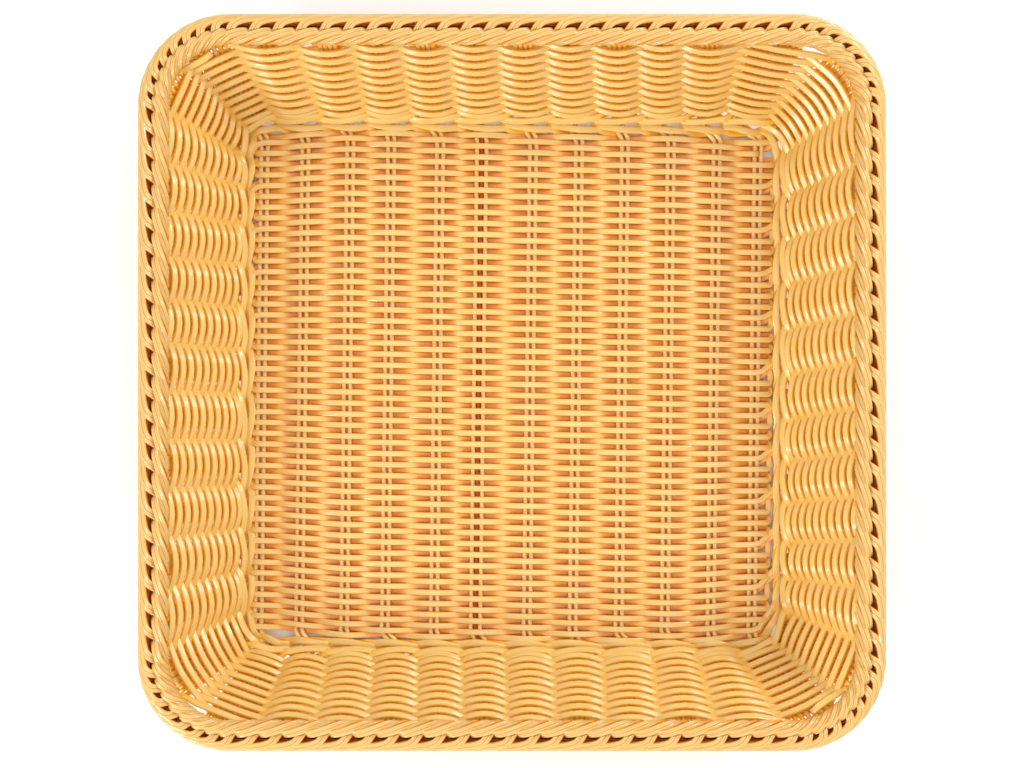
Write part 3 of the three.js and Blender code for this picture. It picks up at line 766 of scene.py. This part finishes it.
INNER_ROUTE = ((-0.5, 12.5, 61.6), (-0.25, 13.8, 64.0), (0.05, 14.0, 66.6), (0.5, 12.8, 69.1),
               (1.0, 11.0, 70.6), (1.4, 9.6, 70.8), (1.68, 9.0, 69.6), (1.82, 9.0, 67.6), (1.88, 9.4, 65.4))
OUTER_ROUTE = ((-0.3, 10.6, 64.6), (-0.12, 9.2, 67.2), (0.02, 7.4, 69.3), (0.14, 5.6, 70.6),
               (0.32, 3.9, 70.9), (0.75, 2.5, 70.75), (1.6, 1.5, 69.4), (2.4, 1.2, 67.2),
               (3.0, 1.8, 65.2), (3.5, 3.2, 63.8), (4.2, 5.1, 62.85), (4.9, 7.8, 62.6))
INNER_CENTRE, OUTER_CENTRE = (11.5, 65.0), (4.6, 66.0)  # what a stroke faces away from, as inset and height


def border(route, centre):
    """All the strokes of one side of the border."""
    return [stroke(i, route, centre, side * STRAND_HALF) for i in range(STROKES) for side in (-1, 1)]


outer_piece = sweep("border outer rope", border(OUTER_ROUTE, OUTER_CENTRE), BORDER)
inner_piece = sweep("border inner rope", border(INNER_ROUTE, INNER_CENTRE), BORDER)

# %% [markdown]
# A steel hoop runs round inside the border. It keeps the rim square and shows as the dark
# rod between the two rows of strokes. A new ring could be bent to the rim's shape, but
# the rim's path is there already, so the hoop follows it, as far in and as high as the
# CAD hoop lies.

# %% Rim hoop
HOOP_HALF = 1.75
hoop_low, hoop_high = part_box("rim_hoop")
HOOP_INSET = RIM_X / 2 - (hoop_high.x / MM - HOOP_HALF)
HOOP_Z = (hoop_low.z + hoop_high.z) / 2 / MM
print("hoop inset and height:", round(HOOP_INSET, 2), round(HOOP_Z, 2))
hoop_points = [rim_place(i / 2, HOOP_INSET, HOOP_Z)[0] for i in range(2 * STROKES)]
hoop = {"points": hoop_points, "above": [Z] * len(hoop_points), "closed": True, "tone": 0.5}
hoop_piece = sweep("rim hoop", [hoop], HOOP)

# %% [markdown]
# The strands are polypropylene in a warm honey colour, glossy and slightly uneven. The
# colour wanders a little from strand to strand and in long streaks along each one, and
# fine grooves along the strand catch the light. Light also passes through the real strand
# and bounces between strands, so that it glows deep orange where it lies hidden and in the
# gaps. Subsurface scattering could do that, but it is slow, so the glow and the shade are
# painted instead: a deeper orange on the hidden parts, in the grooves and along the edges,
# and over the whole of the by-stakes, which show only in the gaps.

# %% Helpers for node materials
def add_node(material, kind, **settings):
    """A new shader node with its settings."""
    made = material.node_tree.nodes.new("ShaderNode" + kind)
    for name, value in settings.items():
        setattr(made, name, value)
    return made


def link(material, output, entry):
    """Leads one node's output into another node."""
    material.node_tree.links.new(output, entry)


def socket(shader, name, value):
    """Sets an input of a node."""
    shader.inputs[name].default_value = value


def new_material(name):
    """A material and its shader."""
    material = bpy.data.materials.new(name)
    material.use_nodes = True
    return material, material.node_tree.nodes["Principled BSDF"]


def stretched_noise(material, vector, stretch, detail):
    """Noise that is finer by so much in each direction of a vector."""
    mapping, noise = add_node(material, "Mapping"), add_node(material, "TexNoise")
    socket(mapping, "Scale", stretch)
    socket(noise, "Scale", 1.0)
    socket(noise, "Detail", detail)
    link(material, vector, mapping.inputs["Vector"])
    link(material, mapping.outputs["Vector"], noise.inputs["Vector"])
    return noise.outputs["Fac"]


def colour_ramp(material, factor, stops):
    """Colours that follow a factor. Each stop is a place from 0 to 1 and its colour."""
    ramp = add_node(material, "ValToRGB")
    elements = ramp.color_ramp.elements
    elements[0].position, elements[1].position = stops[0][0], stops[-1][0]
    for place, _ in stops[1:-1]:
        elements.new(place)
    for element, (_, colour) in zip(elements, stops):
        element.color = (*colour, 1)
    link(material, factor, ramp.inputs["Fac"])
    return ramp.outputs["Color"]


# %% The look of a strand
STREAK_STRETCH, STREAK_DETAIL, STREAK_DARK, STREAK_LIGHT = (60, 1.2, 37), 3.0, 0.3, 0.7
GROOVE_STRETCH, GROOVE_DETAIL, GROOVE_STRENGTH, GROOVE_HEIGHT = (8, 4.5, 11), 2.0, 0.45, 0.0004
STRAND_SHINE = 0.9


def strand_colour(material, fibre, dark, light, shade_colour, depths):
    """Streaks between two colours, with the painted shade colour in the grooves and at the edges across the strand
    and where it lies hidden.
    """
    streaks = colour_ramp(material, stretched_noise(material, fibre, STREAK_STRETCH, STREAK_DETAIL),
                          ((STREAK_DARK, dark), (STREAK_LIGHT, light)))
    across = add_node(material, "SeparateXYZ")
    link(material, fibre, across.inputs["Vector"])
    distance = add_node(material, "Math", operation="ABSOLUTE")
    link(material, across.outputs["Y"], distance.inputs[0])
    # Painted shade in the grooves and at the edges, by the place across the strand.
    edges = colour_ramp(material, distance.outputs["Value"], [(place, (share,) * 3) for place, share in depths])
    given_shade = add_node(material, "Attribute", attribute_name="depth")
    shade_amount = add_node(material, "Math", operation="MAXIMUM")
    link(material, edges, shade_amount.inputs[0])
    link(material, given_shade.outputs["Fac"], shade_amount.inputs[1])
    mix = add_node(material, "Mix", data_type="RGBA")
    link(material, shade_amount.outputs["Value"], mix.inputs["Factor"])
    link(material, streaks, mix.inputs["A"])
    socket(mix, "B", (*shade_colour, 1))
    return mix.outputs["Result"]


def strand_material(name, dark, light, shade_colour, depths, roughness):
    """A strand's look. Painted shades are places across it, from its middle to its edge, and how much painted shade
    each takes.
    """
    material, shader = new_material(name)
    fibre = add_node(material, "Attribute", attribute_name="fibre").outputs["Vector"]
    link(material, strand_colour(material, fibre, dark, light, shade_colour, depths), shader.inputs["Base Color"])
    bump = add_node(material, "Bump")
    socket(bump, "Strength", GROOVE_STRENGTH)
    socket(bump, "Distance", GROOVE_HEIGHT)
    link(material, stretched_noise(material, fibre, GROOVE_STRETCH, GROOVE_DETAIL), bump.inputs["Height"])
    link(material, bump.outputs["Normal"], shader.inputs["Normal"])
    socket(shader, "Roughness", roughness)
    socket(shader, "Specular IOR Level", STRAND_SHINE)
    return material


# %% The look of the coated steel
def coated_steel():
    """Dark coated steel, with a fine unevenness in its colour."""
    material, shader = new_material("dark coated steel")
    place, noise = add_node(material, "TexCoord"), add_node(material, "TexNoise")
    socket(noise, "Scale", 300.0)
    link(material, place.outputs["Object"], noise.inputs["Vector"])
    colour = colour_ramp(material, noise.outputs["Fac"], ((0.0, (0.34, 0.055, 0.003)), (1.0, (0.48, 0.10, 0.006))))
    link(material, colour, shader.inputs["Base Color"])
    socket(shader, "Roughness", 0.4)
    socket(shader, "Specular IOR Level", 0.3)
    return material


# %% The six looks
# Painted shade across each outline, as places from the middle to the edge and shares: in the grooves and at the
# rounded edges, where the real strand lies in shade.
THREE_RIDGE_SHADE = ((0.0, 0.0), (0.2, 0.0), (0.34, 0.45), (0.5, 0.0), (0.75, 0.1), (0.97, 0.95))
TWO_RIDGE_SHADE = ((0.0, 0.45), (0.2, 0.1), (0.5, 0.0), (0.75, 0.15), (0.97, 1.0))
PLAIN_SHADE = ((0.0, 0.0), (0.6, 0.0), (0.95, 0.8))
floor_look = strand_material("honey floor strand", dark=(0.76, 0.49, 0.13), light=(0.82, 0.60, 0.205),
                             shade_colour=(0.98, 0.35, 0.005), depths=THREE_RIDGE_SHADE, roughness=0.18)
wall_look = strand_material("honey wall strand", dark=(0.78, 0.475, 0.115), light=(0.83, 0.565, 0.18),
                            shade_colour=(1.0, 0.53, 0.02), depths=THREE_RIDGE_SHADE, roughness=0.2)
border_look = strand_material("honey border strand", dark=(0.67, 0.435, 0.12), light=(0.76, 0.54, 0.19),
                              shade_colour=(0.9, 0.31, 0.01), depths=TWO_RIDGE_SHADE, roughness=0.18)
stake_look = strand_material("honey stake", dark=(0.82, 0.54, 0.16), light=(0.88, 0.66, 0.26),
                             shade_colour=(0.98, 0.38, 0.02), depths=PLAIN_SHADE, roughness=0.16)
# The by-stakes show only in the gaps between courses, so their whole colour is painted shade: a deep orange for the
# shade and glow there.
shaded_stake_look = strand_material("by-stake in painted shade", dark=(0.94, 0.47, 0.027), light=(0.98, 0.57, 0.055),
                             shade_colour=(1.0, 0.42, 0.02), depths=PLAIN_SHADE, roughness=0.25)
steel_look = coated_steel()
LOOKS = (floor_look, wall_look, border_look, stake_look, shaded_stake_look, steel_look)
print("looks:", ", ".join(look.name for look in LOOKS))

# %% [markdown]
# Every piece rides on the basket's one body and stands for its own CAD nodes. All the
# strands could be one mesh, but a piece for each kind of strand has its own finish. The
# by-stakes stand for the two corner stakes, which are of the same kind.

# %% Fit the pieces to the frame
def finish_piece(piece, look, nodes):
    """Gives a piece its look and ties it to the frame."""
    piece.data.materials.clear()
    piece.data.materials.append(look)
    piece.name = piece.name.replace(" ", "_")
    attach(piece, "root")
    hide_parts(*nodes)


names = list(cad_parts)
finish_piece(weft_piece, floor_look, ["floor_weft"])
finish_piece(side_pieces, floor_look, [n for n in names if n.startswith("side_stake")])
finish_piece(floor_pieces, stake_look, [n for n in names if n.startswith("floor_stake")])
finish_piece(by_piece, shaded_stake_look, [n for n in names if n.startswith("corner_stake")])
finish_piece(first_piece, wall_look, ["wall_weaver_first"])
finish_piece(second_piece, wall_look, ["wall_weaver_second"])
finish_piece(waling_piece, wall_look, ["base_waling"])
finish_piece(outer_piece, border_look, ["border_outer_rope"])
finish_piece(inner_piece, border_look, ["border_inner_rope"])
finish_piece(hoop_piece, steel_look, ["rim_hoop"])
finish_piece(wire_piece, steel_look, ["floor_wire"])
for section in OUTLINES:
    bpy.data.objects.remove(section["object"])
print("CAD nodes that the pieces stand for:", len(names))

# %% [markdown]
# The basket stands on plain white, with hardly a shadow. An endless sweep of paper could
# rise behind it, but from straight above a flat sheet shows the same.

# %% White paper
PAPER_SIZE, PAPER_DROP, PAPER_WHITE = 3.0, 0.0002, 0.93
floor_mesh = bpy.data.meshes.new("studio floor")
bm = bmesh.new()
bmesh.ops.create_grid(bm, x_segments=1, y_segments=1, size=PAPER_SIZE)
bm.to_mesh(floor_mesh)
bm.free()
studio_floor = bpy.data.objects.new("studio floor", floor_mesh)
bpy.context.scene.collection.objects.link(studio_floor)
studio_floor.location = (0, 0, -PAPER_DROP)
paper, paper_shader = new_material("white paper")
socket(paper_shader, "Base Color", (PAPER_WHITE, PAPER_WHITE, PAPER_WHITE, 1))
socket(paper_shader, "Roughness", 0.9)
floor_mesh.materials.append(paper)
print("paper lies below the basket by, in millimetres:", PAPER_DROP / MM)

# %% [markdown]
# The room is bright and even, so the gaps stay warm and no hard shadow falls. Large soft
# lights alone would wash out the strands, so two small ones stand at opposite corners and
# put a short highlight on every crest, and a weak large one hangs overhead.

# %% Lights and room
def softbox(name, place, size, watts):
    """A square soft light that faces the middle of the basket."""
    light = bpy.data.lights.new(name, "AREA")
    light.shape = "RECTANGLE"
    light.size, light.size_y = size, size
    light.energy = watts
    holder = bpy.data.objects.new(name, light)
    holder.location = place
    holder.rotation_mode = "QUATERNION"
    holder.rotation_quaternion = (-Vector(place)).to_track_quat("-Z", "Y")
    bpy.context.scene.collection.objects.link(holder)
    print(f"{name}: {size} m wide, {watts} W")


softbox("left front softbox", (-1.0, -0.85, 0.8), 0.34, 9)
softbox("right back softbox", (1.0, 0.8, 0.8), 0.34, 8)
softbox("top softbox", (0.1, -0.5, 1.5), 0.9, 2)

world = bpy.data.worlds.new("studio")
world.use_nodes = True
background = world.node_tree.nodes["Background"]
socket(background, "Color", (1, 1, 1, 1))
socket(background, "Strength", 1.0)
scene = bpy.context.scene
scene.world = world
scene.view_settings.view_transform = "Standard"

# %% [markdown]
# The camera looks straight down. Its distance can't be measured, but the floor is smaller
# in the photograph than the rim by as much as a camera 0.8 m above the rim would make it.

# %% Camera
CAMERA_RISE = 800.0
LENS, SENSOR_WIDTH, PICTURE_WIDTH = 52.7, 36.0, 1024
PICTURE_SHIFT = 1.5  # pixels by which the basket lies off the picture's middle
camera_data = bpy.data.cameras.new("camera")
camera_data.lens = LENS
camera_data.sensor_width = SENSOR_WIDTH
camera_data.shift_y = -PICTURE_SHIFT / PICTURE_WIDTH
camera = bpy.data.objects.new("camera", camera_data)
camera.location = (0, 0, (HEIGHT + CAMERA_RISE) * MM)
scene.collection.objects.link(camera)
scene.camera = camera
print("camera above the rim, in metres:", CAMERA_RISE * MM)
